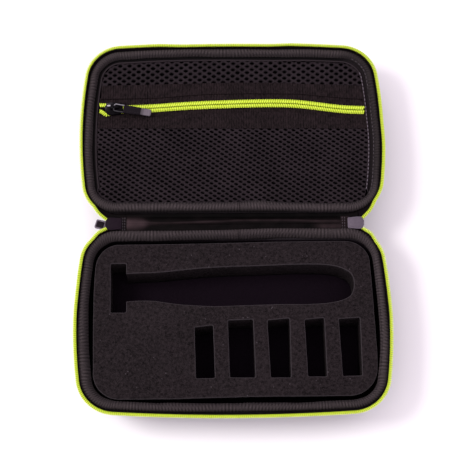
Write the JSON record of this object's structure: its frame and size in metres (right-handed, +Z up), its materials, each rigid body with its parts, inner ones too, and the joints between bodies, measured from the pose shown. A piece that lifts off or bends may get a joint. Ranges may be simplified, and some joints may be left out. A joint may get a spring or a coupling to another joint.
{
  "type": "electric shaver hard case",
  "caption": "Moulded zip-up travel case, lying open flat, with a slotted foam insert for a shaver and combs and a zipped mesh pocket in the lid.",
  "frame": {"origin": "on the floor, under the middle of the fabric spine, with the case lying open flat", "axes": "+Z up; +X along the spine, to the right as seen from the base half; +Y from the spine to the lid half; the base half with the foam is on the -Y side"},
  "size_m": [0.244, 0.3108, 0.038],
  "materials": {
    "shell_cloth": "tightly woven black cloth laminated on a moulded shell",
    "lining": "smooth knitted lining, matt",
    "binding": "ribbed grosgrain binding, charcoal, sewn",
    "zip_tape": "woven zip tape, near black",
    "zip_coil": "nylon coil, lime green",
    "spine_cloth": "plain cloth, near black, slight sheen",
    "mesh": "knitted mesh, black, matt",
    "band": "plain woven band, near black",
    "foam": "fine closed-cell foam, charcoal, matt",
    "foam_floor": "thin foam pad, near black, matt",
    "slider_metal": "die-cast zinc, satin grey",
    "slider_black": "die-cast zinc, glossy black",
    "wire": "steel wire, glossy black",
    "pull_strap": "woven tape, near black",
    "pull_tip": "moulded soft plastic, grey",
    "main_pull": "die-cast zinc, satin grey"
  },
  "bodies": {
    "base": {"base_shell": "shell_cloth", "base_lining": "lining", "base_binding": "binding", "base_zip_tape": "zip_tape", "base_zip_coil": "zip_coil", "base_spine_flap": "spine_cloth", "foam_insert": "foam", "foam_floor_pad": "foam_floor"},
    "spine": {"spine_cloth": "spine_cloth", "spine_lining": "lining", "left_zip_end": "zip_tape", "right_zip_end": "zip_tape", "left_end_tab": "spine_cloth", "right_end_tab": "spine_cloth", "left_slider": "slider_metal", "right_slider": "slider_metal"},
    "lid": {"lid_shell": "shell_cloth", "lid_lining": "lining", "lid_binding": "binding", "lid_zip_tape": "zip_tape", "lid_zip_coil": "zip_coil", "lid_spine_flap": "spine_cloth", "pocket_upper_mesh": "mesh", "pocket_upper_band": "band", "pocket_upper_tape": "zip_tape", "pocket_lower_tape": "zip_tape", "pocket_lower_band": "band", "pocket_lower_mesh": "mesh", "pocket_upper_coil": "zip_coil", "pocket_lower_coil": "zip_coil"},
    "pocket_slider": {"pocket_slider": "slider_black"},
    "pocket_pull": {"pocket_pull_loop": "wire", "pocket_pull_tab": "pull_strap", "pocket_pull_tip": "pull_tip"},
    "left_pull": {"left_pull": "main_pull"},
    "right_pull": {"right_pull": "main_pull"}
  },
  "joints": [
    {"name": "spine_fold", "type": "hinge", "parent": "base", "child": "spine", "pos_m": [0, -0.007, 0.0313], "axis": [1, 0, 0], "range_deg": [0, 90]},
    {"name": "lid_fold", "type": "hinge", "parent": "spine", "child": "lid", "pos_m": [0, 0.007, 0.0313], "axis": [1, 0, 0], "range_deg": [0, 90]},
    {"name": "pocket_slide", "type": "hinge", "parent": "lid", "child": "pocket_slider", "pos_m": [-0.00435, -0.8376, 0.031], "axis": [0, 0, -1], "range_deg": [0, 10.97]},
    {"name": "pocket_pull_swing", "type": "hinge", "parent": "pocket_slider", "child": "pocket_pull", "pos_m": [-0.0945, 0.09807, 0.0363], "axis": [-0.1908, -0.9816, 0], "range_deg": [0, 165]},
    {"name": "left_pull_swing", "type": "hinge", "parent": "spine", "child": "left_pull", "pos_m": [-0.0936, 0, 0.027], "axis": [0, 1, 0], "range_deg": [-165, 5]},
    {"name": "right_pull_swing", "type": "hinge", "parent": "spine", "child": "right_pull", "pos_m": [0.0972, 0, 0.027], "axis": [0, -1, 0], "range_deg": [-85, 85]}
  ]
}
